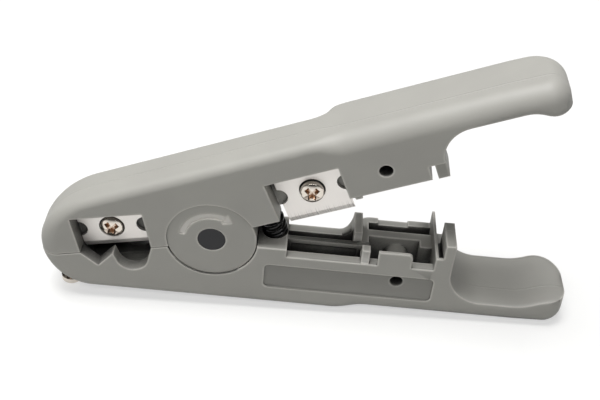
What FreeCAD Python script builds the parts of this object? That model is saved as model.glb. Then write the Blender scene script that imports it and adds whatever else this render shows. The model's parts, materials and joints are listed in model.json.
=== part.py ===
import FreeCAD, Part
import math
import os

from FreeCAD import Vector

# Squeeze-to-open stripper and cutter for multi-conductor cable, in millimetres.
# Two moulded arms turn on one pin. Squeezing the handles opens the jaws, the spring shuts them.
# Each arm is drawn about the pivot with its handle level: x runs from the nose to the tail,
# y from the near side to the far side, z up. Then both are turned into the rest pose.

# Widths, measured from the near side of the arms, which is one flush plane
handle_width = 18.5
front_width = 12.8

# Outline of an arm, measured from the pivot
tail_length = 90.2
front_back = 19.7
handle_back = 19.2
step_start = 31.0
shoulder_radius = 6.0
waist_radius = 4.0
tail_corner_near = 5.2
tail_corner_far = 8.0
heel_start = 77.0
heel_radius = 60.0
nose_length_lower = 43.2
nose_round_lower = 30.0
nose_centre_lower = 8.0
nose_length_upper = 43.7
nose_round_upper = 24.0
nose_centre_upper = 5.0

# Rounding of the back edges
nose_fillet = 5.4
front_fillet = 2.2
handle_fillet = 4.4

# Motion and the faces where the arms meet
rest_opening = 23.4
jaw_tilt_lower = 12.2
jaw_drop = 1.0
jaw_gap = 0.16
platform_drop = 0.85
upper_rise = 1.0
ledge_drop = 3.2
upper_ledge = 2.8

# Hub and pivot pin
hub_radius = 11.0
hub_gap = 0.25
disc_recess = 0.4
pin_radius = 3.4
pin_running = 0.05

# Coil spring between the arms
spring_x = 15.2
spring_depth = 7.2
spring_outer = 2.8
spring_wire = 0.9
spring_sides = 5
spring_turns = 3.75
seat_radius = 3.25
lower_seat = 1.5
upper_seat = 3.0
seat_clearance = 0.35

# Jaws: window in the upper arm, notches in the lower one, along the tilted jaw line
jaw_front = 33.35
jaw_rear = 15.3
notch_peak = 25.3
notch_peak_drop = 0.9
vee_bottom = 29.9
vee_depth = 4.4
cup_centre = 20.9
cup_radius = 4.0
cup_depth = 6.7
cup_flank = 20.0
jaw_wall = 3.4
jaw_slot = 5.8
jaw_slot_depth = 8.6
window_height = 10.6

# Blades, both held in a slot of the upper arm by a screw head through a hole
blade_depth = 4.3
blade_thickness = 0.8
blade_slip = 0.05
blade_hole = 3.2
blade_notch = 2.25
notch_offset = 0.3
strip_left = 33.2
strip_right = 16.8
strip_reach = 1.7
strip_top = 11.6
strip_axis = 4.15
cut_left = 19.1
cut_right = 35.5
cut_edge = 3.5
cut_top = 13.0
cut_axis = 4.75
cut_boss = 1.0
bevel_height = 1.6
bevel_land = 0.15

# Blade screws
head_radius = 2.85
head_height = 2.0
head_crown = 0.5
screw_radius = 1.5
screw_length = 6.0

# Rear window and the handle's cutting trough
cut_window_left = 18.0
cut_window_right = 36.1
cut_window_top = 12.1
seat_edge = 2.0
trough_left = 18.5
trough_right = 36.9
trough_floor = 12.5
wall = 2.6
rail_near = 5.6
rail_width = 1.4
rail_drop = 1.9
rail_relief = 0.5
rail_cap = 0.9
far_wall_inner = 10.3

# Cross rib, post and lip on the lower arm
rib_left = 34.9
rib_right = 37.0
rib_far = 15.0
rib_top = 0.9
rib_sweep = 3.2
post_left = 36.9
post_right = 38.9
post_inset = 0.3
lip_left = 41.0
lip_right = 49.4
lip_top = 1.05
lip_thickness = 0.9
lip_corner = 1.2
tab_left = 37.3
tab_right = 39.0
tab_bottom = 1.9

# Open pocket in each handle
pocket_left = 39.0
pocket_right = 55.0
pocket_far = 11.1
pocket_floor = 15.5
gutter_near = 13.6
gutter_far = 16.4
boss_radius = 3.2
hole_x = 46.4
hole_drop = 8.2
hole_radius = 1.65
stub_left = 52.0
stub_near = 8.4
far_notch_left = 41.5
far_notch_right = 49.2
far_notch_depth = 0.6

# Plate, block and hook at the end of the pocket
plate_thickness = 0.7
plate_top = 0.7
block_left = 56.9
block_right = 59.4
block_top = 5.0
block_depth = 9.2
channel_depth = 2.6
hook_left = 56.1
hook_right = 58.9
hook_near = 9.7
hook_inset = 0.6
hook_reach = 4.7
notch_clear = 6.6
upper_notch_left = 55.9
upper_notch_right = 59.9

# Finger scoops at the tails
scoop_radius = 9.1
scoop_start = 0.9
scoop_floor_lower = 12.9
scoop_floor_upper = 14.1
lip_start_lower = 76.0
lip_start_upper = 79.5
lip_crest = 88.0
lip_rise_lower = 2.8
lip_rise_upper = 2.5

# Label recess on the near side, left bare
label_left = 13.4
label_right = 55.6
label_top = 6.2
label_bottom = 13.7
label_depth = 0.5
label_corner = 1.2

# Depth screw under the nose
depth_inset = 6.7
depth_head_radius = 2.65
depth_head_height = 2.2
depth_standoff = 2.4
depth_seat = 18.8
depth_shank = 9.9
depth_running = 0.05
depth_seat_radius = 3.4

# Planes and angles that follow from the sizes above
near_y = -handle_width / 2
far_y = handle_width / 2
front_far_y = near_y + front_width
lap_y = near_y + front_width / 2
jaw_tilt_upper = rest_opening - jaw_tilt_lower
step_offset = far_y - front_far_y
step_turn = math.acos(1 - step_offset / (shoulder_radius + waist_radius))
step_end = step_start + (shoulder_radius + waist_radius) * math.sin(step_turn)
seat_y = near_y + blade_depth + blade_thickness
strip_edge = -jaw_drop - strip_reach
strip_top_z = -jaw_drop + strip_top
strip_axis_x = -(strip_left + strip_right) / 2
strip_axis_z = -jaw_drop + strip_axis
cut_axis_x = (cut_left + cut_right) / 2
depth_x = nose_length_lower - depth_inset

# Overshoot of cutting tools, and how far from 1 the cosine of parallel and of steep edges may be
over = 5.0
tiny = 0.001
steep = 0.01
X_AXIS = Vector(1, 0, 0)
Y_AXIS = Vector(0, 1, 0)
Z_AXIS = Vector(0, 0, 1)
PIVOT = Vector(0, 0, 0)


def line(a, b):
    return Part.LineSegment(a, b).toShape()


def arc(a, middle, b):
    return Part.Arc(a, middle, b).toShape()


def quarter_ellipse(centre, first, second):
    """Quarter of an ellipse from one axis end to the other."""
    if (first - centre).Length < (second - centre).Length:
        first, second = second, first
    return Part.ArcOfEllipse(Part.Ellipse(first, second, centre), 0, math.pi / 2).toShape()


def ease(a, b):
    """S of two equal arcs between two points of the side view, which leaves and arrives level."""
    middle = (a + b) / 2
    run = b.x - a.x
    rise = b.z - a.z
    radius = (run ** 2 + rise ** 2) / (4 * abs(rise))
    half = math.atan2(abs(rise), run)
    bow = math.copysign(radius * (1 - math.cos(half)), rise)
    reach = radius * math.sin(half)
    return [
        arc(a, a + side(reach, bow), middle),
        arc(middle, b - side(reach, bow), b),
    ]


def face(edges):
    return Part.Face(Part.Wire(Part.__sortEdges__(edges)))


def side(x, z):
    return Vector(x, 0, z)


def across(flat, y_from, y_to):
    """Carry a face drawn in the side view across the width."""
    moved = flat.copy()
    moved.translate(Vector(0, y_from, 0))
    return moved.extrude(Vector(0, y_to - y_from, 0))


def polygon(points):
    return Part.Face(Part.makePolygon(points + points[:1]))


def block(x_from, x_to, y_from, y_to, z_from, z_to):
    corner = Vector(x_from, y_from, z_from)
    return Part.makeBox(x_to - x_from, y_to - y_from, z_to - z_from, corner)


def cross_cylinder(radius, x, z, y_from, y_to):
    return Part.makeCylinder(radius, y_to - y_from, Vector(x, y_from, z), Y_AXIS)


def turned(shape, angle):
    """Turn about the pivot: a positive angle lifts the tail."""
    moved = shape.copy()
    moved.rotate(PIVOT, Y_AXIS, -angle)
    return moved


def flipped(shape):
    return shape.mirror(PIVOT, Z_AXIS)


def runs_along(edge, axis, slack=tiny):
    middle = (edge.FirstParameter + edge.LastParameter) / 2
    return abs(edge.tangentAt(middle).dot(axis)) > 1 - slack


def rim_radius(x, nose_length, nose_round):
    """Fillet radius of the back edges: full at the nose, small at the front, large on the handle."""
    if x < -nose_round:
        share = (-x - nose_round) / (nose_length - nose_round)
        return front_fillet + share * (nose_fillet - front_fillet)
    if x < step_end:
        share = max(0.0, (x - step_start) / (step_end - step_start))
        return front_fillet + share * (handle_fillet - front_fillet)
    return handle_fillet


def round_back(blank, nose_length, nose_round):
    """Round the rim between the sides and the back, with a radius that changes along the arm."""
    rows = []
    for index, edge in enumerate(blank.Edges, 1):
        ends = [edge.valueAt(at) for at in edge.ParameterRange]
        upright = runs_along(edge, Z_AXIS, steep)
        on_top = not upright and min(end.z for end in ends) > 0
        crossing = runs_along(edge, Y_AXIS) and ends[0].x < tail_length - tiny
        if on_top or crossing or (upright and ends[0].x > 0):
            continue
        radii = [rim_radius(end.x, nose_length, nose_round) for end in ends]
        rows.append((index, radii[0], radii[1]))
    document = FreeCAD.newDocument("rim")
    base = document.addObject("Part::Feature", "base")
    base.Shape = blank
    rim = document.addObject("Part::Fillet", "rim")
    rim.Base = base
    rim.Edges = rows
    document.recompute()
    rounded = rim.Shape.copy()
    FreeCAD.closeDocument(document.Name)
    return rounded


def rest_pitch():
    """Angle of the line on which the tool lies: depth screw head in front, heel of the tail behind."""
    rim_x = -depth_x + depth_head_radius - head_crown
    rim_z = -depth_seat - depth_standoff - depth_head_height
    run = heel_start - rim_x
    rise = -handle_back + heel_radius - rim_z
    return math.degrees(math.atan2(rise, run) - math.asin(heel_radius / math.hypot(run, rise)))


def heel_point(angle):
    """Point on the bend from the handle's back to its heel, which lies flat on the table."""
    return side(heel_start + heel_radius * math.sin(angle), -handle_back + heel_radius * (1 - math.cos(angle)))


def arm_blank(nose_length, nose_round, nose_centre, top):
    """Outer body of an arm, back downwards: side outline and plan outline together, rim rounded."""
    tip = side(-nose_length, -nose_centre)
    flank = side(-nose_round, -front_back)
    heel = math.radians(rest_pitch())
    heel_line = side(1, math.tan(heel))
    heel_end = heel_point(heel)
    heel_end += heel_line * (tail_length - heel_end.x)
    beyond = heel_end + heel_line * over
    outline = face([
        line(side(-nose_length, top), tip),
        quarter_ellipse(side(-nose_round, -nose_centre), tip, flank),
        line(flank, side(step_start, -front_back)),
        *ease(side(step_start, -front_back), side(step_end, -handle_back)),
        line(side(step_end, -handle_back), side(heel_start, -handle_back)),
        arc(side(heel_start, -handle_back), heel_point(heel / 2), heel_point(heel)),
        line(heel_point(heel), beyond),
        line(beyond, side(beyond.x, top)),
        line(side(beyond.x, top), side(-nose_length, top)),
    ])
    body = across(outline, near_y, far_y).common(plan_prism())
    return round_back(body.common(tail_prism(heel_end, heel)), nose_length, nose_round)


def tail_prism(heel_end, heel):
    """Everything short of the tail's end, which is square to the heel and has round corners."""
    length = tail_length + nose_length_lower + nose_length_upper
    height = 2 * length
    prism = block(tail_length - length, tail_length, near_y, far_y, -height / 2, height / 2)
    for radius, y in ((tail_corner_near, near_y), (tail_corner_far, far_y)):
        corner = [edge for edge in prism.Edges if runs_along(edge, Z_AXIS)
                  and edge.CenterOfMass.isEqual(Vector(tail_length, y, 0), tiny)]
        prism = prism.makeFillet(radius, corner)
    prism.rotate(heel_end, Y_AXIS, -math.degrees(heel))
    return prism


def plan_prism():
    """Plan of an arm: narrow front, S-shaped shoulder on the far side, wide handle."""
    low = -front_back - over

    def plan(x, y):
        return Vector(x, y, low)

    def bend(cx, cy, radius, angle):
        return plan(cx + radius * math.cos(angle), cy + radius * math.sin(angle))

    half = step_turn / 2
    quarter = math.pi / 2
    waist = (step_start, front_far_y + waist_radius, waist_radius)
    shoulder = (step_end, far_y - shoulder_radius, shoulder_radius)
    front = -max(nose_length_lower, nose_length_upper) - over
    rear = tail_length + 2 * over
    inflection = bend(*waist, -quarter + step_turn)
    outline = face([
        line(plan(front, near_y), plan(rear, near_y)),
        line(plan(rear, near_y), plan(rear, far_y)),
        line(plan(rear, far_y), plan(step_end, far_y)),
        arc(plan(step_end, far_y), bend(*shoulder, quarter + half), inflection),
        arc(inflection, bend(*waist, -quarter + half), plan(step_start, front_far_y)),
        line(plan(step_start, front_far_y), plan(front, front_far_y)),
        line(plan(front, front_far_y), plan(front, near_y)),
    ])
    return outline.extrude(Vector(0, 0, 2 * (front_back + over)))


def scoop_edges(start_x, start_z, floor, lip_start, lip_rise, top):
    """Parting side of a tail: hollow end of the scoop, its floor and the raised lip."""
    radius = min(scoop_radius, start_z + floor)
    centre = side(start_x + radius, radius - floor)
    bottom = side(centre.x, -floor)
    brow = side(start_x, centre.z)
    lean = radius * math.sqrt(0.5)
    crest = side(lip_crest, -floor + lip_rise)
    end = side(tail_length + over, crest.z)
    wall_line = [line(side(start_x, start_z), brow)] if start_z - brow.z > tiny else []
    return wall_line + [
        arc(brow, centre - side(lean, lean), bottom),
        line(bottom, side(lip_start, -floor)),
        *ease(side(lip_start, -floor), crest),
        line(crest, end),
        line(end, side(end.x, top)),
    ]


def path(points):
    return [line(a, b) for a, b in zip(points, points[1:])]


def jaw_line(x, tilt, drop):
    """Height of a jaw face, which passes below the pivot and rises or falls towards the nose."""
    return -drop / math.cos(math.radians(tilt)) + x * math.tan(math.radians(tilt))


def jaw_meets(level, tilt, drop):
    """Place along x where a jaw face reaches a level."""
    return (level + drop / math.cos(math.radians(tilt))) / math.tan(math.radians(tilt))


def spring_seat(z_from, z_to):
    return Part.makeCylinder(
        seat_radius, z_to - z_from, Vector(spring_x, near_y + spring_depth, z_from), Z_AXIS)


def cross_hole():
    return cross_cylinder(hole_radius, hole_x, -hole_drop, near_y - over, far_y + over)


def handle_pocket():
    """Open pocket of a handle, with the tube round the cross hole and the gutter behind it left."""
    deep = block(pocket_left, pocket_right, near_y + wall, near_y + pocket_far, -pocket_floor, over)
    tube = cross_cylinder(boss_radius, hole_x, -hole_drop, near_y + wall, near_y + pocket_far)
    gutter = block(pocket_left, pocket_right, near_y + gutter_near, near_y + gutter_far,
                   -pocket_floor, over)
    return deep.cut(tube).fuse(gutter)


def lower_parting():
    """Everything above the lower arm: jaw face, platform, ledge, plate, block and scoop."""
    top = block_top + over
    drop = jaw_drop + jaw_gap / 2
    front = -nose_length_lower - over
    meet = jaw_meets(-platform_drop, jaw_tilt_lower, drop)
    points = [
        side(front, top),
        side(front, jaw_line(front, jaw_tilt_lower, drop)),
        side(meet, -platform_drop),
        side(trough_left, -platform_drop),
        side(trough_left, -ledge_drop),
        side(pocket_right, -ledge_drop),
        side(pocket_right, plate_top),
        side(block_left, plate_top),
        side(block_left, block_top),
        side(block_right, block_top),
        side(block_right, -scoop_start),
    ]
    scoop = scoop_edges(block_right, -scoop_start, scoop_floor_lower, lip_start_lower, lip_rise_lower, top)
    lid = line(side(tail_length + over, top), points[0])
    return across(face(path(points) + scoop + [lid]), near_y - over, far_y + over)


def notches():
    """V notch and round notch of the lower jaw, with the slot that takes the blade between them."""
    drop = jaw_drop + jaw_gap / 2
    rise = side(0, over)
    vee = polygon([
        side(-jaw_front, -drop),
        side(-vee_bottom, -drop - vee_depth),
        side(-notch_peak, -drop - notch_peak_drop),
        side(-notch_peak, -drop) + rise,
        side(-jaw_front, -drop) + rise,
    ])
    centre = side(-cup_centre, -drop - cup_depth + cup_radius)
    reach = cup_radius * math.cos(math.radians(cup_flank))
    fall = cup_radius * math.sin(math.radians(cup_flank))
    cup = polygon([
        side(-notch_peak, -drop - notch_peak_drop),
        centre + side(-reach, -fall),
        centre + side(reach, -fall),
        side(-jaw_rear, -drop),
        side(-jaw_rear, -drop) + rise,
        side(-notch_peak, -drop) + rise,
    ])
    grooves = across(vee, near_y - over, far_y + over).fuse(across(cup, near_y - over, far_y + over))
    round_bottom = cross_cylinder(cup_radius, centre.x, centre.z, near_y - over, far_y + over)
    slot = block(-jaw_front, -jaw_rear, near_y + jaw_wall, near_y + jaw_wall + jaw_slot,
                 -drop - jaw_slot_depth, over)
    return turned(grooves.fuse(round_bottom).fuse(slot), jaw_tilt_lower)


def label_recess():
    """Shallow bare panel on the near side with round corners."""
    panel = block(label_left, label_right, near_y - over, near_y + label_depth,
                  -label_bottom, -label_top)
    corners = [edge for edge in panel.Edges if runs_along(edge, Y_AXIS)]
    return panel.makeFillet(label_corner, corners)


def cutting_trough():
    """Two slots of the lower handle with the rail between them, which the cutting blade passes."""
    rail_far = rail_near + rail_width
    near_slot = block(trough_left, trough_right, near_y + wall, near_y + rail_near,
                      -trough_floor, over)
    far_slot = block(trough_left, rib_left, near_y + rail_far, near_y + far_wall_inner,
                     -trough_floor, over)
    relief = block(trough_left + rail_cap, trough_right - rail_cap, near_y + rail_near,
                   near_y + rail_near + rail_relief, -trough_floor, -rail_drop - rail_cap)
    upper_ends = [edge for edge in relief.Edges
                  if runs_along(edge, Y_AXIS) and edge.CenterOfMass.z > -trough_floor]
    return near_slot.fuse(far_slot).fuse(relief.makeFillet(rail_cap, upper_ends))


def rail():
    """Top of the rail, which stands above the ledge between the platform and the pocket."""
    return block(trough_left, pocket_left, near_y + rail_near, near_y + rail_near + rail_width,
                 -ledge_drop, -rail_drop)


def cross_rib():
    """Rib behind the rail that ends the trough, with a concave sweep down to the far wall."""
    rib = block(rib_left, rib_right, near_y + rail_near + rail_width, near_y + rib_far,
                -ledge_drop, rib_top)
    foot = side(rib_left - rib_sweep, -ledge_drop)
    head = side(rib_left, -ledge_drop + rib_sweep)
    centre = side(foot.x, head.z)
    lean = rib_sweep * math.sqrt(0.5)
    sweep = face([
        arc(foot, centre + side(lean, -lean), head),
        line(head, side(rib_left, -ledge_drop)),
        line(side(rib_left, -ledge_drop), foot),
    ])
    return rib.fuse(across(sweep, near_y + far_wall_inner, far_y)).common(plan_prism())


def lip():
    """Thin tongue that stands on the ledge, flush with the near side."""
    tongue = block(lip_left, lip_right, near_y, near_y + lip_thickness, -ledge_drop, lip_top)
    corner = [edge for edge in tongue.Edges if runs_along(edge, Y_AXIS)
              and edge.CenterOfMass.z > 0 and edge.CenterOfMass.x > lip_left]
    return tongue.makeFillet(lip_corner, corner)


def hub_disc(y_from, y_to, radius):
    return cross_cylinder(radius, 0, 0, y_from, y_to)


def depth_hole():
    """Hole for the depth screw, open at the jaw face, with a flat seat under the nose."""
    place = Vector(-depth_x, lap_y, -front_back - over)
    bore = Part.makeCylinder(screw_radius + depth_running, front_back + over, place, Z_AXIS)
    seat = Part.makeCylinder(depth_seat_radius, front_back + over - depth_seat, place, Z_AXIS)
    return bore.fuse(seat)


def lower_arm():
    """Lower arm: notched jaw, half hub on the far side, cutting trough, pocket and scoop."""
    arm = arm_blank(nose_length_lower, nose_round_lower, nose_centre_lower, block_top)
    arm = arm.cut(lower_parting())
    arm = arm.cut(hub_disc(near_y - over, lap_y + hub_gap / 2, hub_radius + hub_gap))
    arm = arm.fuse(hub_disc(lap_y + hub_gap / 2, front_far_y - disc_recess, hub_radius))
    arm = arm.cut(notches()).cut(depth_hole())
    arm = arm.cut(spring_seat(-platform_drop - lower_seat, over))
    arm = arm.cut(cutting_trough()).fuse(rail()).fuse(cross_rib())
    post = block(post_left, post_right, near_y + post_inset, near_y + wall, -ledge_drop, rib_top)
    pocket = handle_pocket()
    stub = block(stub_left, pocket_right, near_y + stub_near, near_y + pocket_far,
                 -pocket_floor, -ledge_drop)
    arm = arm.cut(pocket).fuse(stub).fuse(post).fuse(lip())
    arm = arm.cut(block(far_notch_left, far_notch_right, near_y + gutter_far, far_y + over,
                        -ledge_drop - far_notch_depth, over))
    plate_right = pocket_right + plate_thickness
    far_step = block(plate_right, block_right + scoop_radius, near_y + block_depth, far_y + over,
                     -notch_clear, block_top + over)
    channel = block(plate_right, block_left, near_y + plate_thickness, near_y + block_depth + over,
                    plate_top - channel_depth, block_top + over)
    arm = arm.cut(far_step).cut(channel).cut(label_recess()).cut(cross_hole())
    return arm.cut(hub_disc(near_y - over, far_y + over, pin_radius)).removeSplitter()


def upper_parting():
    """Everything below the upper arm, drawn with the arm's back downwards like the lower one."""
    top = hook_reach + over
    drop = jaw_drop - jaw_gap / 2
    front = -nose_length_upper - over
    meet = jaw_meets(-upper_rise, jaw_tilt_upper, -drop)
    points = [
        side(front, top),
        side(front, jaw_line(front, jaw_tilt_upper, -drop)),
        side(meet, -upper_rise),
        side(cut_window_left, -upper_rise),
        side(cut_window_left, -seat_edge),
        side(cut_window_right, -seat_edge),
        side(cut_window_right, -upper_ledge),
        side(upper_notch_left, -upper_ledge),
        side(upper_notch_left, -notch_clear),
        side(upper_notch_right, -notch_clear),
    ]
    scoop = scoop_edges(upper_notch_right, -notch_clear, scoop_floor_upper, lip_start_upper, lip_rise_upper, top)
    lid = line(side(tail_length + over, top), points[0])
    return across(face(path(points) + scoop + [lid]), near_y - over, far_y + over)


def strip_frame(shape):
    """From the jaw's own level frame to the upper arm's frame."""
    return turned(shape, -jaw_tilt_upper)


def blade_pocket(x_from, x_to, z_top, window_top, z_low):
    """Window through the near wall and, behind it, the taller slot that holds a blade's top edge."""
    window = block(x_from, x_to, near_y - over, seat_y, z_low, window_top)
    slot = block(x_from, x_to, near_y + blade_depth - blade_slip, seat_y, z_low, z_top + blade_slip)
    return window.fuse(slot)


def blade(left, right, z_edge, z_top, axis_x, axis_z):
    """Flat blade with a ground cutting edge, a screw hole and a half-round notch at each end."""
    y_face = near_y + blade_depth
    plate = block(left, right, y_face, seat_y, z_edge, z_top)
    ground = [
        Vector(left, y_face, z_edge),
        Vector(left, y_face, z_edge + bevel_height),
        Vector(left, seat_y - bevel_land, z_edge),
    ]
    plate = plate.cut(polygon(ground).extrude(Vector(right - left, 0, 0)))
    for x in (left - notch_offset, right + notch_offset):
        plate = plate.cut(cross_cylinder(blade_notch, x, axis_z, y_face - over, seat_y + over))
    return plate.cut(cross_cylinder(blade_hole, axis_x, axis_z, y_face - over, seat_y + over))


def pan_screw(radius, height, length):
    """Pan-head screw along +z, its seat at z = 0 and its head below."""
    head = [
        side(0, 0),
        side(radius, 0),
        side(radius, -height + head_crown),
        side(radius - head_crown, -height),
        side(0, -height),
    ]
    turned_head = polygon(head).revolve(PIVOT, Z_AXIS, 360)
    shank = Part.makeCylinder(screw_radius, length, PIVOT, Z_AXIS)
    return turned_head.fuse(shank).removeSplitter()


def blade_screw(x, seat, z):
    screw = pan_screw(head_radius, head_height, screw_length)
    screw.rotate(PIVOT, X_AXIS, -90)
    screw.translate(Vector(x, seat, z))
    return screw


def screw_bore(x, seat, z):
    return cross_cylinder(screw_radius, x, z, seat, seat + screw_length)


def upper_arm():
    """Upper arm: two blade windows, half hub on the near side, pocket, hook and scoop."""
    arm = arm_blank(nose_length_upper, nose_round_upper, nose_centre_upper, hook_reach)
    arm = flipped(arm.cut(upper_parting()).cut(handle_pocket()).cut(cross_hole()))
    arm = arm.cut(hub_disc(lap_y - hub_gap / 2, far_y + over, hub_radius + hub_gap))
    disc = hub_disc(near_y + disc_recess, lap_y - hub_gap / 2, hub_radius)
    arm = arm.cut(hub_disc(near_y - over, near_y + disc_recess, hub_radius)).fuse(disc)
    arm = arm.cut(spring_seat(-over, upper_rise + upper_seat))
    front_pocket = blade_pocket(-jaw_front, -jaw_rear, strip_top_z, window_height - jaw_drop, -over)
    arm = arm.cut(strip_frame(front_pocket))
    arm = arm.cut(blade_pocket(cut_window_left, cut_window_right, cut_top, cut_window_top, -over))
    boss = cross_cylinder(head_radius, cut_axis_x, cut_axis, seat_y - cut_boss, seat_y)
    tab = block(tab_left, tab_right, near_y + post_inset, near_y + wall, tab_bottom, upper_ledge)
    hook = block(hook_left, hook_right, near_y + hook_near, far_y - hook_inset,
                 -hook_reach, notch_clear)
    arm = arm.fuse(boss).fuse(tab).fuse(hook)
    arm = arm.cut(strip_frame(screw_bore(strip_axis_x, seat_y, strip_axis_z)))
    arm = arm.cut(screw_bore(cut_axis_x, seat_y - cut_boss, cut_axis))
    return arm.cut(hub_disc(near_y - over, far_y + over, pin_radius + pin_running)).removeSplitter()


def pivot_pin():
    return hub_disc(near_y + disc_recess, front_far_y - disc_recess, pin_radius)


def seat_points():
    """Centres of the two spring seats at rest, in the lower arm's frame."""
    low = Vector(spring_x, near_y + spring_depth, -platform_drop - lower_seat)
    high = Vector(spring_x, near_y + spring_depth, upper_rise + upper_seat)
    turn = FreeCAD.Rotation(Y_AXIS, -rest_opening)
    return low, turn.multVec(high)


def return_spring():
    """Coil between the two seats, along the line that joins their centres: a polygon on a helix."""
    low, high = seat_points()
    axis = high - low
    length = axis.Length
    tilt = Z_AXIS.getAngle(axis)
    end = spring_outer * math.sin(max(tilt, math.radians(rest_opening) - tilt)) + seat_clearance
    radius = spring_outer - spring_wire / 2
    rise = length - 2 * end - spring_wire
    helix = Part.makeHelix(rise / spring_turns, rise, radius)
    corner = Vector(spring_wire / 2, 0, 0)
    turns = [FreeCAD.Rotation(Y_AXIS, 360 * k / spring_sides) for k in range(spring_sides + 1)]
    section = Part.makePolygon([X_AXIS * radius + turn.multVec(corner) for turn in turns])
    coil = Part.Wire(helix.Edges).makePipeShell([section], True, True)
    coil.translate(Vector(0, 0, end + spring_wire / 2))
    coil.Placement = FreeCAD.Placement(low, FreeCAD.Rotation(Z_AXIS, axis)).multiply(coil.Placement)
    return coil


def depth_screw():
    screw = pan_screw(depth_head_radius, depth_head_height, depth_shank)
    screw.translate(Vector(-depth_x, lap_y, -depth_seat - depth_standoff))
    return screw


lower = {
    "lower_arm": lower_arm(),
    "pivot_pin": pivot_pin(),
    "return_spring": return_spring(),
    "depth_screw": depth_screw(),
}
upper = {
    "upper_arm": upper_arm(),
    "stripping_blade": strip_frame(blade(-strip_left, -strip_right, strip_edge, strip_top_z,
                                         strip_axis_x, strip_axis_z)),
    "cutting_blade": blade(cut_left, cut_right, -cut_edge, cut_top, cut_axis_x, cut_axis),
    "stripping_blade_screw": strip_frame(blade_screw(strip_axis_x, seat_y, strip_axis_z)),
    "cutting_blade_screw": blade_screw(cut_axis_x, seat_y - cut_boss, cut_axis),
}
pitch = rest_pitch()
nodes = {name: turned(shape, -pitch) for name, shape in lower.items()}
nodes.update({name: turned(shape, rest_opening - pitch) for name, shape in upper.items()})

# The origin is the middle of the box that the tool fills, on the surface it lies on
whole = Part.makeCompound(list(nodes.values())).optimalBoundingBox(False, False)
origin = Vector((whole.XMin + whole.XMax) / 2, (whole.YMin + whole.YMax) / 2, whole.ZMin)
os.makedirs("parts", exist_ok=True)
for name, shape in nodes.items():
    shape.translate(-origin)
    shape.exportStep(os.path.join("parts", name + ".step"))
    print(name, len(shape.Solids), shape.isValid(), round(shape.Volume, 1))
print("pivot", -origin, "pitch", round(pitch, 3), "size", whole.XLength, whole.YLength, whole.ZLength)
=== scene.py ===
import bmesh
import bpy
import json
import math
import numpy as np
from mathutils import Matrix, Vector


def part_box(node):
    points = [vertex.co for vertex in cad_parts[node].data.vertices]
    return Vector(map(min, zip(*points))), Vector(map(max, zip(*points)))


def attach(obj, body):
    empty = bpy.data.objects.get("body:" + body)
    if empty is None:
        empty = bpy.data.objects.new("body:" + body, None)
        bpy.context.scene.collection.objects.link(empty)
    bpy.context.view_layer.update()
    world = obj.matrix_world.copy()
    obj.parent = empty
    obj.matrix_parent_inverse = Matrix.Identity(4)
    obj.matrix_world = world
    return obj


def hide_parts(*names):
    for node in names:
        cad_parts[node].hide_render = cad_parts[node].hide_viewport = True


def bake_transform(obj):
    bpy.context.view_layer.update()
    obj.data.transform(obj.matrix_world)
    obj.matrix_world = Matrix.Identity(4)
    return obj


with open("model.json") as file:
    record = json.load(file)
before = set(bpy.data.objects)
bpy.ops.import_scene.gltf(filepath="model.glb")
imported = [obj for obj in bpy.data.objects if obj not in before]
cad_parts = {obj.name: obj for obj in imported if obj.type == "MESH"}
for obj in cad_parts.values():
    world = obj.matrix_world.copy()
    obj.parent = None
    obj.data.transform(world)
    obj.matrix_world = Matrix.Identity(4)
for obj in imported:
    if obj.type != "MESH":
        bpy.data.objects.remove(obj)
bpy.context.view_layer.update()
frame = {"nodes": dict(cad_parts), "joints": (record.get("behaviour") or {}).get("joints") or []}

# Lower arm: one grey ABS moulding with the notched jaw, half of the hub, the cutting trough, an open
# pocket and a finger scoop. It comes out of a two-part mould, so its edges are a little soft and a
# fine parting line runs along its back. The other pieces are fixed in it or turn on it.
MM = 0.001  # lengths are written in millimetres and angles in degrees, unless a comment says otherwise
near_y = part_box("lower_arm")[0].y
merge_gap = 0.001
flat_angle = 0.1
sharp_angle = 32.0
face_area_weight = 100

plastic_grey = "#a3a19c"
plastic_worn = "#b1b0a9"
plastic_roughness = 0.54
plastic_ior = 1.53
mottle_size = 14.0
mottle_detail = 3.0
# The real grain is about 0.03 mm across, too fine to show, so it is drawn coarser.
grain_size = 0.35
grain_detail = 2.0
grain_height = 0.006

look_samples = 8
# Painted shade: the plastic's colour is darkened in sheltered hollows, and most in the jaw.
shade_reach = 9.0
shade_from = 0.25
shade_to = 0.58
shade_tone = 0.06
jaw_middle = (-46.5, 0.0, 20.0)
jaw_inner = 10.0
jaw_outer = 15.0
jaw_shade_to = 1.05

# Outer edges are rubbed pale and also carry painted highlights, where their round would catch the light.
worn_and_highlit_grey = "#e4e1da"
wear_and_highlight_reach = 0.55
wear_and_highlight_from = 0.5
wear_and_highlight_to = 0.98
wear_and_highlight_share = 0.9

label_middle = (11.4, 0.5, 12.0)
label_half = (22.5, 0.1, 6.0)
label_tone = 0.68

edge_softness = 0.7
scoop_rim = 2.0
scoop_rim_start = 34.0
scoop_rim_full = 40.0
parting_depth = 6.4
parting_width = 0.3
parting_height = 0.1


def linear(hex_colour):
    """sRGB hex colour as linear red, green, blue and alpha, by the piecewise sRGB curve."""
    srgb = np.array([int(hex_colour[k:k + 2], 16) for k in (1, 3, 5)]) / 255
    low = srgb / 12.92
    high = ((srgb + 0.055) / 1.055) ** 2.4
    return (*np.where(srgb <= 0.04045, low, high), 1.0)


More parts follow.
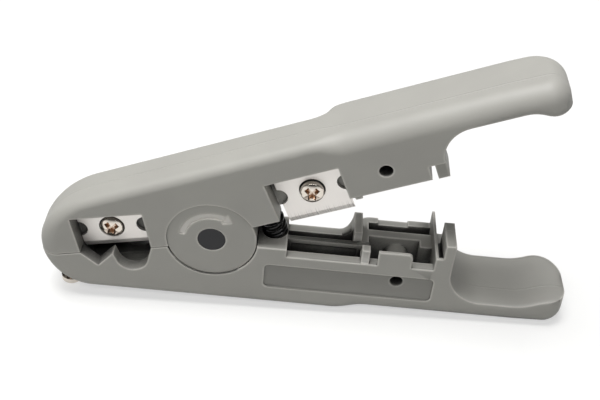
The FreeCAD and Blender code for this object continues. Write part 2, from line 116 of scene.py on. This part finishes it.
def add(tree, kind, settings=None, **links):
    """Add a node, set its properties and sockets, and link each named input to the socket given.
    An input that has only a number is named by an underscore and the number."""
    node = tree.nodes.new(kind)
    for name, value in (settings or {}).items():
        if isinstance(name, str) and name in node.bl_rna.properties:
            setattr(node, name, value)
        else:
            node.inputs[name].default_value = value
    for name, socket in links.items():
        key = int(name[1:]) if name[1:].isdigit() else name.replace("_", " ")
        tree.links.new(socket, node.inputs[key])
    return node


def new_material(name):
    """Empty node material with a Principled shader on its output."""
    material = bpy.data.materials.new(name)
    material.use_nodes = True
    tree = material.node_tree
    return material, tree, tree.nodes["Principled BSDF"]


def painted_hollow_shade(tree, place):
    """Painted shade: a tone that is dark in sheltered hollows, where shade falls, and 1 in the open. In
    the jaw, told by the distance from its middle in the side view, the painted shade stays dark further
    out into the open."""
    side_view = add(tree, "ShaderNodeVectorMath",
                    {"operation": "MULTIPLY", 1: (1.0, 0.0, 1.0)}, _0=place)
    from_jaw = add(tree, "ShaderNodeVectorMath",
                   {"operation": "DISTANCE", 1: [c * MM for c in jaw_middle]},
                   _0=side_view.outputs[0])
    open_from = add(tree, "ShaderNodeMapRange",
                    {"From Min": jaw_inner * MM, "From Max": jaw_outer * MM,
                     "To Min": jaw_shade_to, "To Max": shade_to},
                    Value=from_jaw.outputs["Value"])
    shelter = add(tree, "ShaderNodeAmbientOcclusion",
                  {"samples": look_samples, "Distance": shade_reach * MM})
    painted_shade = add(tree, "ShaderNodeMapRange",
               {"interpolation_type": "SMOOTHSTEP", "From Min": shade_from,
                "To Min": shade_tone, "To Max": 1.0},
               Value=shelter.outputs["AO"], From_Max=open_from.outputs["Result"])
    return painted_shade.outputs["Result"]


def label_floor(tree, split):
    """Tone of the label panel's floor: darker within a box round the floor and 1 outside it. A place is
    in the box when it lies within the half size from the middle along X, Y and Z alike."""
    within = []
    for axis, middle, half in zip("XYZ", label_middle, label_half):
        start = near_y if axis == "Y" else 0.0
        within.append(add(tree, "ShaderNodeMath",
                          {"operation": "COMPARE", 1: start + middle * MM, 2: half * MM},
                          _0=split.outputs[axis]).outputs[0])
    near_floor = add(tree, "ShaderNodeMath", {"operation": "MULTIPLY"}, _0=within[0], _1=within[1])
    on_floor = add(tree, "ShaderNodeMath", {"operation": "MULTIPLY"},
                   _0=near_floor.outputs[0], _1=within[2])
    tone = add(tree, "ShaderNodeMapRange", {"To Min": 1.0, "To Max": label_tone},
               Value=on_floor.outputs[0])
    return tone.outputs["Result"]


def rubbed_and_highlit_edges(tree):
    """Share of edge wear and painted highlight: large at outer edges, where a short look into the solid
    soon comes out again, and none on flat faces."""
    corner = add(tree, "ShaderNodeAmbientOcclusion",
                 {"samples": look_samples, "inside": True, "only_local": True,
                  "Distance": wear_and_highlight_reach * MM})
    wear_and_highlight = add(tree, "ShaderNodeMapRange",
               {"From Min": wear_and_highlight_from, "From Max": wear_and_highlight_to, "To Min": wear_and_highlight_share, "To Max": 0.0},
               Value=corner.outputs["AO"])
    return wear_and_highlight.outputs["Result"]


def moulded_normals(tree, place, split):
    """Normals of the moulding: edges shaded as round, more so at the rim of the finger scoop, then the
    fine grain, then a low ridge where the two halves of the mould met."""
    edge_radius = add(tree, "ShaderNodeMapRange",
                      {"From Min": scoop_rim_start * MM, "From Max": scoop_rim_full * MM,
                       "To Min": edge_softness * MM, "To Max": scoop_rim * MM},
                      Value=split.outputs["X"])
    edges = add(tree, "ShaderNodeBevel", {"samples": look_samples},
                Radius=edge_radius.outputs["Result"])
    grain = add(tree, "ShaderNodeTexNoise",
                {"Scale": 1 / (grain_size * MM), "Detail": grain_detail}, Vector=place)
    grain_bump = add(tree, "ShaderNodeBump", {"Distance": grain_height * MM},
                     Height=grain.outputs["Fac"], Normal=edges.outputs["Normal"])
    away = add(tree, "ShaderNodeMath", {"operation": "SUBTRACT", 1: near_y + parting_depth * MM},
               _0=split.outputs["Y"])
    off = add(tree, "ShaderNodeMath", {"operation": "ABSOLUTE"}, _0=away.outputs[0])
    ridge = add(tree, "ShaderNodeMapRange",
                {"interpolation_type": "SMOOTHSTEP", "From Min": 0.0, "From Max": parting_width * MM,
                 "To Min": 1.0, "To Max": 0.0},
                Value=off.outputs[0])
    ridge_bump = add(tree, "ShaderNodeBump", {"Distance": parting_height * MM},
                     Height=ridge.outputs["Result"], Normal=grain_bump.outputs["Normal"])
    return ridge_bump.outputs["Normal"]


def moulded_abs():
    """Moulded grey ABS: satin, with spark-eroded grain and faint flow mottling. It has painted shade
    where it is sheltered, most of all in the jaw, and its edges are rubbed pale and painted with
    highlights. The floor of the label panel is left coarser from the mould and so a little darker."""
    material, tree, shader = new_material("moulded_grey_abs")
    shader.inputs["Roughness"].default_value = plastic_roughness
    shader.inputs["IOR"].default_value = plastic_ior
    place = add(tree, "ShaderNodeTexCoord").outputs["Object"]
    split = add(tree, "ShaderNodeSeparateXYZ", Vector=place)
    mottle = add(tree, "ShaderNodeTexNoise",
                 {"Scale": 1 / (mottle_size * MM), "Detail": mottle_detail}, Vector=place)
    clean = add(tree, "ShaderNodeMix",
                {"data_type": "RGBA", 6: linear(plastic_grey), 7: linear(plastic_worn)},
                _0=mottle.outputs["Fac"])
    # Edges lightened: partly real wear, partly painted highlight.
    rubbed_and_highlit = add(tree, "ShaderNodeMix", {"data_type": "RGBA", 7: linear(worn_and_highlit_grey)},
                 _0=rubbed_and_highlit_edges(tree), _6=clean.outputs[2])
    # Painted shade from the hollows, times the darker floor of the label panel.
    dark = add(tree, "ShaderNodeMath", {"operation": "MULTIPLY"},
               _0=painted_hollow_shade(tree, place), _1=label_floor(tree, split))
    used = add(tree, "ShaderNodeVectorMath", {"operation": "SCALE"},
               _0=rubbed_and_highlit.outputs[2], Scale=dark.outputs[0])
    tree.links.new(used.outputs[0], shader.inputs["Base Color"])
    tree.links.new(moulded_normals(tree, place, split), shader.inputs["Normal"])
    return material


def joined(node, name, material):
    """Copy of a moulded CAD piece with its loose triangles joined into whole faces."""
    mesh = frame["nodes"][node].data.copy()
    mesh.name = name
    shape = bmesh.new()
    shape.from_mesh(mesh)
    bmesh.ops.remove_doubles(shape, verts=shape.verts, dist=merge_gap * MM)
    bmesh.ops.dissolve_limit(shape, angle_limit=math.radians(flat_angle), verts=shape.verts,
                             edges=shape.edges, use_dissolve_boundaries=False)
    shape.to_mesh(mesh)
    shape.free()
    mesh.materials.clear()
    mesh.materials.append(material)
    piece = bpy.data.objects.new(name, mesh)
    bpy.context.scene.collection.objects.link(piece)
    return piece


def shade_by_area(piece):
    """Smooth shading that stops at the real edges and leaves the large flat faces flat."""
    piece.data.shade_smooth()
    piece.data.set_sharp_from_angle(angle=math.radians(sharp_angle))
    normals = piece.modifiers.new("face_area_normals", "WEIGHTED_NORMAL")
    normals.weight = face_area_weight
    normals.keep_sharp = True


abs_plastic = moulded_abs()
lower_arm = joined("lower_arm", "lower_arm_moulding", abs_plastic)
shade_by_area(lower_arm)
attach(lower_arm, "lower")
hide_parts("lower_arm")

# Pivot pin: a turned steel pin, oxidised dark. It is pressed through the hub into the lower arm, and
# its end is ground flush with the near disc.
pin_steel = "#2c2c2e"
pin_metallic = 0.6
pin_roughness = 0.42


def dark_pin_steel():
    """Oxidised steel: a dark grey face with a dull metal sheen."""
    material, _, shader = new_material("dark_oxidised_steel")
    shader.inputs["Base Color"].default_value = linear(pin_steel)
    shader.inputs["Metallic"].default_value = pin_metallic
    shader.inputs["Roughness"].default_value = pin_roughness
    return material


pivot_pin = frame["nodes"]["pivot_pin"]
pivot_pin.data.materials.clear()
pivot_pin.data.materials.append(dark_pin_steel())

# Return spring: black oiled music wire, cold coiled, with its end turns closed. It is trapped between
# a seat in each arm and pushes the handles apart, so the real coil shortens as they are squeezed; this
# one is drawn at rest and stays as it is.
spring_black = "#0b0b0c"
spring_roughness = 0.14
spring_turns = 6.0
spring_wire = 0.9
end_closing = 0.48
turn_steps = 40
wire_steps = 14


def black_wire():
    """Black oxide on spring wire, oily, so it shows small sharp highlights."""
    material, _, shader = new_material("black_oiled_spring_wire")
    shader.inputs["Base Color"].default_value = linear(spring_black)
    shader.inputs["Roughness"].default_value = spring_roughness
    return material


def sweep(centres, normals, binormals, radius, around):
    """Round wire on a path: each path point plus the radius times the cosine of the turn along the
    normal and its sine along the binormal."""
    turn = np.linspace(0, 2 * np.pi, around, endpoint=False)[None, :, None]
    ring = np.cos(turn) * normals[:, None, :] + np.sin(turn) * binormals[:, None, :]
    return centres[:, None, :] + radius * ring


def grid_faces(rows, columns):
    """Quads of a grid that is open along its rows and closed round its columns."""
    row, column = np.meshgrid(np.arange(rows - 1), np.arange(columns), indexing="ij")
    following = (column + 1) % columns
    corners = (row * columns + column, row * columns + following,
               (row + 1) * columns + following, (row + 1) * columns + column)
    return np.stack(corners, axis=-1).reshape(-1, 4)


def closed_tube(name, points, material):
    """Mesh of a grid of rings in metres, each end drawn together to the mean of its last ring."""
    rows, columns, _ = points.shape
    ends = np.stack([points[0].mean(0), points[-1].mean(0)])
    vertices = np.concatenate([points.reshape(-1, 3), ends])
    column = np.arange(columns)
    following = (column + 1) % columns
    first_end = np.full(columns, rows * columns)
    last_row = (rows - 1) * columns
    first = np.stack([first_end, following, column], axis=-1)
    last = np.stack([first_end + 1, last_row + column, last_row + following], axis=-1)
    faces = grid_faces(rows, columns).tolist() + first.tolist() + last.tolist()
    mesh = bpy.data.meshes.new(name)
    mesh.from_pydata(vertices.tolist(), [], faces)
    mesh.validate()
    outside = bmesh.new()
    outside.from_mesh(mesh)
    bmesh.ops.recalc_face_normals(outside, faces=outside.faces)
    outside.to_mesh(mesh)
    outside.free()
    mesh.shade_smooth()
    mesh.materials.append(material)
    piece = bpy.data.objects.new(name, mesh)
    bpy.context.scene.collection.objects.link(piece)
    return piece


def node_points(node):
    """All vertices of a CAD piece at rest, as one array in metres."""
    mesh = frame["nodes"][node].data
    flat = np.empty(len(mesh.vertices) * 3, np.float32)
    mesh.vertices.foreach_get("co", flat)
    return flat.reshape(-1, 3).astype(float)


def middle_and_half(values):
    """Middle between the least and the greatest value, and half of the distance between them."""
    return (values.max() + values.min()) / 2, (values.max() - values.min()) / 2


def return_spring():
    """Helix in the place of the CAD coil, on the one of its three directions of spread that is nearest
    to upright. The share of the height is the share of the turns less a sine of it, so the rise per
    turn grows from about one wire at the closed ends to the open pitch in the middle."""
    points = node_points("return_spring")
    mean = points.mean(0)
    spread = np.linalg.svd(points - mean, full_matrices=False)[2]
    axis = spread[np.argmax(np.abs(spread[:, 2]))]
    axis = axis * np.sign(axis[2])
    side_a = np.cross(axis, [0.0, 1.0, 0.0])
    side_a /= np.linalg.norm(side_a)
    side_b = np.cross(axis, side_a)
    along = (points - mean) @ axis
    middle_a, _ = middle_and_half((points - mean) @ side_a)
    middle_b, outer = middle_and_half((points - mean) @ side_b)
    centre = mean + side_a * middle_a + side_b * middle_b
    wire = spring_wire * MM / 2
    low, high = along.min() + wire, along.max() - wire
    share = np.linspace(0, 1, int(spring_turns * turn_steps) + 1)
    turn = 2 * np.pi * spring_turns * share
    eased = share - end_closing * np.sin(2 * np.pi * share) / (2 * np.pi)
    rise = low + (high - low) * eased
    outward = np.cos(turn)[:, None] * side_a + np.sin(turn)[:, None] * side_b
    path = centre + (outer - wire) * outward + rise[:, None] * axis
    surface = sweep(path, outward, np.broadcast_to(axis, path.shape), wire, wire_steps)
    piece = closed_tube("return_coil", surface, black_wire())
    return piece, centre + low * axis, centre + high * axis


coil, coil_foot, coil_head = return_spring()
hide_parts("return_spring")
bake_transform(coil)

# Upper arm: the other grey ABS moulding, with two blade windows, the near half of the hub, a hook and
# a finger scoop. It turns on the pin. A turn arrow is sunk into the face of the hub disc by a polished
# place in the mould; its paler colour is a painted sheen.
arrow_radius = 7.3
arrow_start = 170.0
arrow_neck = 63.5
arrow_tip = 47.7
arrow_barb = 0.4
arrow_start_half = 0.65
arrow_neck_half = 0.85
arrow_head_half = 1.6
arrow_tip_half = 0.02
arrow_steps = 40
arrow_stand = 1.0
arrow_sink = 0.35
# Paler than the plastic: a painted sheen of the polished arrow.
arrow_sheen_grey = "#dedbd5"
arrow_roughness = 0.2
disc_recess = 0.4
pivot = next(Vector(joint["pos_m"]) for joint in frame["joints"] if joint["name"] == "arm_pivot")


def polished_abs_painted_sheen():
    """The same grey ABS where the mould is polished: smooth, with no grain, and paler with a painted
    sheen.
    """
    material, _, shader = new_material("polished_grey_abs_painted_sheen")
    shader.inputs["Base Color"].default_value = linear(arrow_sheen_grey)
    shader.inputs["Roughness"].default_value = arrow_roughness
    shader.inputs["IOR"].default_value = plastic_ior
    return material


def turn_arrow(face_y):
    """Closed prism of the arrow: its half width grows slowly along the shaft, jumps at the neck and
    falls to almost nothing at the tip. Points lie at the mean radius plus or minus that half width, on
    two depths, one in front of the disc and one sunk in it."""
    shaft = np.linspace(arrow_start, arrow_neck, arrow_steps)
    angle = np.radians(np.concatenate([shaft, [arrow_neck - arrow_barb, arrow_tip]]))
    shaft_half = np.linspace(arrow_start_half, arrow_neck_half, arrow_steps)
    half = np.concatenate([shaft_half, [arrow_head_half, arrow_tip_half]])
    radius = arrow_radius + np.stack([-half, half, half, -half], axis=-1)
    depth = np.array([-arrow_stand, -arrow_stand, arrow_sink, arrow_sink]) * MM
    x = pivot.x + radius * MM * np.cos(angle)[:, None]
    z = pivot.z + radius * MM * np.sin(angle)[:, None]
    y = np.broadcast_to(face_y + depth, x.shape)
    return closed_tube("turn_arrow", np.stack([x, y, z], axis=-1), polished_abs_painted_sheen())


upper_arm = joined("upper_arm", "upper_arm_moulding", abs_plastic)
arrow = turn_arrow(near_y + disc_recess * MM)
engrave = upper_arm.modifiers.new("turn_arrow", "BOOLEAN")
engrave.operation = "DIFFERENCE"
engrave.solver = "EXACT"
engrave.material_mode = "TRANSFER"
engrave.object = arrow
graph = bpy.context.evaluated_depsgraph_get()
engraved = bpy.data.meshes.new_from_object(upper_arm.evaluated_get(graph))
upper_arm.modifiers.clear()
upper_arm.data = engraved
bpy.data.objects.remove(arrow)
shade_by_area(upper_arm)
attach(upper_arm, "upper")
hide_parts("upper_arm")

# Blades: flat blade steel, stamped with a screw hole and a half-round notch at each end, and ground to
# an edge. Each lies in a window of the upper arm under one screw. The grinding leaves fine lines across
# the edge.
blade_steel = "#e9e5e1"
blade_metallic = 0.85
blade_smoothest = 0.44
blade_roughest = 0.6
grind_line = "#c6c2bf"
# The real lines lie about 0.05 mm apart, too fine to show, so they are drawn coarser.
grind_spacing = 0.3
grind_detail = 2.0
grind_from = 0.5
grind_to = 0.7
grind_depth = 0.004
grind_height = 1.6
grind_fade = 1.4


def blade_lean(node):
    """Lean of a blade in the X-Z plane, from the direction in which its points spread most, and the
    height of its lowest point square to that direction."""
    points = node_points(node)[:, [0, 2]]
    long_side = np.linalg.svd(points - points.mean(0), full_matrices=False)[2][0]
    long_side = long_side * np.sign(long_side[0])
    up = np.array([-long_side[1], long_side[0]])
    return long_side, up, (points @ up).min()


def ground_steel():
    """Bright ground steel. Above the edge of the cutting blade, lines square to the edge are left by the
    grinding wheel: a noise of the place along the blade alone, which fades out above the edge."""
    material, tree, shader = new_material("ground_blade_steel")
    shader.inputs["Metallic"].default_value = blade_metallic
    long_side, up, edge = blade_lean("cutting_blade")
    place = add(tree, "ShaderNodeTexCoord").outputs["Object"]
    along = add(tree, "ShaderNodeVectorMath",
                {"operation": "DOT_PRODUCT", 1: (long_side[0], 0.0, long_side[1])}, _0=place)
    height = add(tree, "ShaderNodeVectorMath",
                 {"operation": "DOT_PRODUCT", 1: (up[0], 0.0, up[1])}, _0=place)
    lines = add(tree, "ShaderNodeTexNoise",
                {"noise_dimensions": "1D", "Scale": 1 / (grind_spacing * MM), "Detail": grind_detail},
                W=along.outputs["Value"])
    marks = add(tree, "ShaderNodeMapRange", {"From Min": grind_from, "From Max": grind_to},
                Value=lines.outputs["Fac"])
    low = add(tree, "ShaderNodeMapRange",
              {"From Min": edge + grind_height * MM,
               "From Max": edge + (grind_height + grind_fade) * MM, "To Min": 1.0, "To Max": 0.0},
              Value=height.outputs["Value"])
    ground = add(tree, "ShaderNodeMath", {"operation": "MULTIPLY"},
                 _0=marks.outputs["Result"], _1=low.outputs["Result"])
    tone = add(tree, "ShaderNodeMix",
               {"data_type": "RGBA", 6: linear(blade_steel), 7: linear(grind_line)},
               _0=ground.outputs[0])
    tree.links.new(tone.outputs[2], shader.inputs["Base Color"])
    rough = add(tree, "ShaderNodeMapRange", {"To Min": blade_smoothest, "To Max": blade_roughest},
                Value=lines.outputs["Fac"])
    tree.links.new(rough.outputs["Result"], shader.inputs["Roughness"])
    bump = add(tree, "ShaderNodeBump", {"Distance": grind_depth * MM}, Height=lines.outputs["Fac"])
    tree.links.new(bump.outputs["Normal"], shader.inputs["Normal"])
    return material


steel = ground_steel()
for node in ("stripping_blade", "cutting_blade"):
    blade = frame["nodes"][node]
    blade.data.materials.clear()
    blade.data.materials.append(steel)

# Screws: nickel-plated pan heads with a cross recess. Two hold the blades and one under the nose sets
# the depth of cut. The heads are cold formed, so they are domed, their rims are round and the recess is
# tapered.
nickel = "#d8d0c6"
nickel_roughness = 0.16
# Painted shade: the plating turns brown where the screw shelters itself.
recess_shade_brown = "#9a6836"
recess_shade_reach = 2.0
recess_depth = 1.25
recess_lip = 0.06
head_crown = 0.5
tail_chamfer = 0.3
# Shares of the head's radius.
recess_span = 0.68
recess_width = 0.23
head_dome = 1.75
head_share = 0.95
# Shares of the cross outline, and of the length below the head.
recess_middle = 0.02
recess_floor = 0.55
lip_span = 1.03
shank_share = 0.2
arm_side_steps = 5
arm_end_steps = 7
crown_steps = 6
screw_sharp_angle = 35.0
# How far each screw was driven round, in radians.
strip_screw_turn = 0.9
cut_screw_turn = 0.75
depth_screw_turn = 0.4
blade_screw_axis = (0, 1, 0)
slide_axis = next(Vector(joint["axis"]) for joint in frame["joints"]
                  if joint["name"] == "depth_screw_slide")


def nickel_plate():
    """Nickel plating with a faint warm tint, nearly mirror bright, with painted shade in brown where the
    screw shelters itself, in the recess and under the head.
    """
    material, tree, shader = new_material("nickel_plated_steel")
    shader.inputs["Metallic"].default_value = 1.0
    shader.inputs["Roughness"].default_value = nickel_roughness
    shelter = add(tree, "ShaderNodeAmbientOcclusion",
                  {"samples": look_samples, "only_local": True, "Distance": recess_shade_reach * MM})
    tone = add(tree, "ShaderNodeMix",
               {"data_type": "RGBA", 6: linear(recess_shade_brown), 7: linear(nickel)},
               _0=shelter.outputs["AO"])
    tree.links.new(tone.outputs[2], shader.inputs["Base Color"])
    return material


def cross_outline(turn):
    """Distance from the middle to the outline of the cross, for each turn: the nearer of an arm's end
    and an arm's side, taking the turn from the nearest arm."""
    nearest = np.abs((turn + np.pi / 4) % (np.pi / 2) - np.pi / 4)
    side = recess_width / np.maximum(np.sin(nearest), 1e-6)
    return np.minimum(recess_span / np.cos(nearest), side)


def cross_turns():
    """Turns round the axis at which a ring has points: closer over the end of each of the four arms, so
    that its corners are met, and wider between the arms."""
    corner = np.arctan2(recess_width, recess_span)
    quarter = np.concatenate([np.linspace(-np.pi / 4, -corner, arm_side_steps)[:-1],
                              np.linspace(-corner, corner, arm_end_steps)[:-1],
                              np.linspace(corner, np.pi / 4, arm_side_steps)[:-1]])
    return np.concatenate([quarter + k * np.pi / 2 for k in range(4)])


def cross_head_screw(name, node, axis, spin):
    """Turned profile with a cross sunk in its face, sized from the CAD screw. Rings inside the recess
    follow the cross outline, rings outside it pass evenly from that outline to the round rim and lie on
    a sphere, and the rest is a solid of turning. The rim is an arc that starts with the slope of the
    sphere and ends along the axis."""
    axis = np.array(axis) / np.linalg.norm(axis)
    side_a = np.cross([0.0, 0.0, 1.0] if abs(axis[2]) < 0.5 else [0.0, 1.0, 0.0], axis)
    side_a /= np.linalg.norm(side_a)
    side_b = np.cross(axis, side_a)
    points = node_points(node)
    along, across_a, across_b = points @ axis, points @ side_a, points @ side_b
    middle_a, _ = middle_and_half(across_a)
    middle_b, radius = middle_and_half(across_b)
    reach = np.hypot(across_a - middle_a, across_b - middle_b)
    top, tail = along.min(), along.max()
    seat = along[reach > head_share * radius].max()
    shank = reach[along > seat + shank_share * (tail - seat)].max()

    turn = cross_turns()
    outline = cross_outline(turn) * radius
    crown = head_crown * MM
    chamfer = tail_chamfer * MM
    ball = head_dome * radius
    shoulder = (radius - crown) / (1 - crown / ball)
    slope = np.arcsin(shoulder / ball)
    crown_depth = ball - (ball - crown) * np.cos(slope)
    on_ball = [outline * lip_span, (2 * outline + shoulder) / 3, (outline + 2 * shoulder) / 3]
    rings = [(recess_middle * outline, recess_depth * MM),
             (recess_floor * outline, recess_depth * MM),
             (outline, ball - np.sqrt(ball ** 2 - outline ** 2) + recess_lip * MM)]
    rings += [(r, ball - np.sqrt(ball ** 2 - r ** 2)) for r in on_ball]
    rings += [(radius - crown + crown * np.sin(a), crown_depth - crown * np.cos(a))
              for a in np.linspace(slope, np.pi / 2, crown_steps)]
    rings += [(radius, seat - top), (shank, seat - top),
              (shank, tail - top - chamfer), (shank - chamfer, tail - top)]
    spread = np.stack([np.broadcast_to(r, turn.shape) for r, _ in rings])
    depth = np.stack([np.broadcast_to(d, turn.shape) for _, d in rings])
    outward = np.cos(turn + spin)[:, None] * side_a + np.sin(turn + spin)[:, None] * side_b
    middle = side_a * middle_a + side_b * middle_b
    grid = middle + (top + depth)[:, :, None] * axis + spread[:, :, None] * outward[None]
    piece = closed_tube(name, grid, nickel_finish)
    piece.data.set_sharp_from_angle(angle=math.radians(screw_sharp_angle))
    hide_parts(node)
    return piece


nickel_finish = nickel_plate()
strip_screw = cross_head_screw("stripping_screw", "stripping_blade_screw",
                               blade_screw_axis, strip_screw_turn)
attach(strip_screw, "upper")
cut_screw = cross_head_screw("cutting_screw", "cutting_blade_screw",
                             blade_screw_axis, cut_screw_turn)
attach(cut_screw, "upper")
depth_screw = cross_head_screw("depth_setting_screw", "depth_screw", slide_axis, depth_screw_turn)
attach(depth_screw, "depth")

# Floor and light: a sheet of white paper under a broad soft box overhead and a weaker strip in front
# of it, in a dim room with a pale backdrop. Their sizes are in metres.
floor_white = "#b0b0ae"
floor_roughness = 0.9
floor_size = 8.0
floor_lift = 0.56
sweep_start = 0.2
sweep_end = 1.2
room_strength = 0.05
ceiling_strength = 0.05
backdrop_top = 6.0
ceiling_start = 20.0
soft_box_length = 0.55
soft_box_depth = 0.5
soft_box_height = 1.1
soft_box_left = 0.18
soft_box_watts = 13.4
strip_length = 0.9
strip_depth = 0.06
strip_height = 0.72
strip_front = 0.55
strip_watts = 2.1


def seen_rays(tree):
    """1 for what is seen, by the lens, in a reflection or through glass, and 0 for what only lights."""
    path = add(tree, "ShaderNodeLightPath").outputs
    plain = add(tree, "ShaderNodeMath", {"operation": "MAXIMUM"},
                _0=path["Is Camera Ray"], _1=path["Is Glossy Ray"])
    seen = add(tree, "ShaderNodeMath", {"operation": "MAXIMUM"},
               _0=plain.outputs[0], _1=path["Is Transmission Ray"])
    return seen.outputs[0]


def paper_floor():
    """Matt white paper. What the lens and the reflections see is lifted, more where the paper runs away
    from the tool, so it prints white."""
    material, tree, shader = new_material("white_paper")
    shader.inputs["Base Color"].default_value = linear(floor_white)
    shader.inputs["Roughness"].default_value = floor_roughness
    shader.inputs["Specular IOR Level"].default_value = 0.0
    place = add(tree, "ShaderNodeTexCoord").outputs["Object"]
    from_tool = add(tree, "ShaderNodeVectorMath", {"operation": "LENGTH"}, _0=place)
    white = add(tree, "ShaderNodeMapRange",
                {"From Min": sweep_start, "From Max": sweep_end, "To Min": floor_lift, "To Max": 1.0},
                Value=from_tool.outputs["Value"])
    lift = add(tree, "ShaderNodeMath", {"operation": "MULTIPLY"},
               _0=seen_rays(tree), _1=white.outputs["Result"])
    glow = add(tree, "ShaderNodeEmission", Strength=lift.outputs[0])
    both = add(tree, "ShaderNodeAddShader", _0=shader.outputs[0], _1=glow.outputs[0])
    tree.links.new(both.outputs[0], tree.nodes["Material Output"].inputs["Surface"])
    return material


def pale_room():
    """World that gives a weak even light and is seen as a white backdrop near the floor, which falls off
    to a dim ceiling between two heights above it."""
    room = bpy.data.worlds.new("pale_room")
    room.use_nodes = True
    tree = room.node_tree
    background = tree.nodes["Background"]
    background.inputs["Color"].default_value = (1.0, 1.0, 1.0, 1.0)
    direction = add(tree, "ShaderNodeTexCoord").outputs["Generated"]
    height = add(tree, "ShaderNodeSeparateXYZ", Vector=direction)
    backdrop = add(tree, "ShaderNodeMapRange",
                   {"From Min": math.sin(math.radians(backdrop_top)),
                    "From Max": math.sin(math.radians(ceiling_start)),
                    "To Min": 1.0, "To Max": ceiling_strength},
                   Value=height.outputs["Z"])
    level = add(tree, "ShaderNodeMapRange", {"To Min": room_strength},
                Value=seen_rays(tree), To_Max=backdrop.outputs["Result"])
    tree.links.new(level.outputs["Result"], background.inputs["Strength"])
    return room


def soft_light(name, length, depth, watts, place):
    """Rectangular soft box at a place in metres from the tool, turned to face it."""
    lamp = bpy.data.lights.new(name, "AREA")
    lamp.shape = "RECTANGLE"
    lamp.size = length
    lamp.size_y = depth
    lamp.energy = watts
    holder = bpy.data.objects.new(name, lamp)
    holder.location = place
    holder.rotation_euler = Vector(place).to_track_quat("Z", "Y").to_euler()
    bpy.context.scene.collection.objects.link(holder)


half = floor_size / 2
paper = bpy.data.meshes.new("paper_floor")
paper.from_pydata([(-half, -half, 0), (half, -half, 0), (half, half, 0), (-half, half, 0)], [],
                  [(0, 1, 2, 3)])
paper.materials.append(paper_floor())
floor = bpy.data.objects.new("paper_floor", paper)
bpy.context.scene.collection.objects.link(floor)
bpy.context.scene.world = pale_room()
soft_light("soft_box", soft_box_length, soft_box_depth, soft_box_watts,
           (-soft_box_left, 0.0, soft_box_height))
soft_light("front_strip", strip_length, strip_depth, strip_watts, (0.0, -strip_front, strip_height))

# Camera: a long lens about 250 mm from the hub, looking down at the near side. Its place was worked out
# from where the hub, the nose and the tails lie in the 600 by 400 picture.
picture_width = 600.0
picture_height = 400.0
focal_pixels = 1028.261
sensor_width = 36.0
nearest_seen = 0.01
view_azimuth = 2.697
view_elevation = 38.742
handle_lean = 4.732
hub_distance = 250.234
hub_pixel = (211.279, 240.54)


def photo_camera():
    """Camera that looks at the hub from the given azimuth and elevation, set back so that the hub falls
    on its pixel, then turned about the pin's direction by what the lower arm leans less than in that
    view."""
    turn, lift = math.radians(view_azimuth), math.radians(view_elevation)
    level = math.cos(lift)
    back = Vector((math.sin(turn) * level, -math.cos(turn) * level, math.sin(lift)))
    right = Vector((math.cos(turn), math.sin(turn), 0.0))
    up = back.cross(right)
    offset_x = (hub_pixel[0] - picture_width / 2) / focal_pixels
    offset_y = (picture_height / 2 - hub_pixel[1]) / focal_pixels
    eye = -hub_distance * MM * (-back + right * offset_x + up * offset_y)
    axes = Matrix((right, up, back)).transposed()
    stance = math.atan2(slide_axis.x, slide_axis.z)
    roll = Matrix.Rotation(stance - math.radians(handle_lean), 3, "Y")
    hub = Vector((pivot.x, near_y, pivot.z))
    lens = bpy.data.cameras.new("photo_camera")
    lens.sensor_width = sensor_width
    lens.sensor_fit = "HORIZONTAL"
    lens.lens = focal_pixels * sensor_width / picture_width
    lens.clip_start = nearest_seen
    camera = bpy.data.objects.new("photo_camera", lens)
    camera.matrix_world = Matrix.Translation(hub + roll @ eye) @ (roll @ axes).to_4x4()
    bpy.context.scene.collection.objects.link(camera)
    return camera


bpy.context.scene.camera = photo_camera()
bpy.context.scene.view_settings.view_transform = "Standard"

bpy.context.view_layer.update()
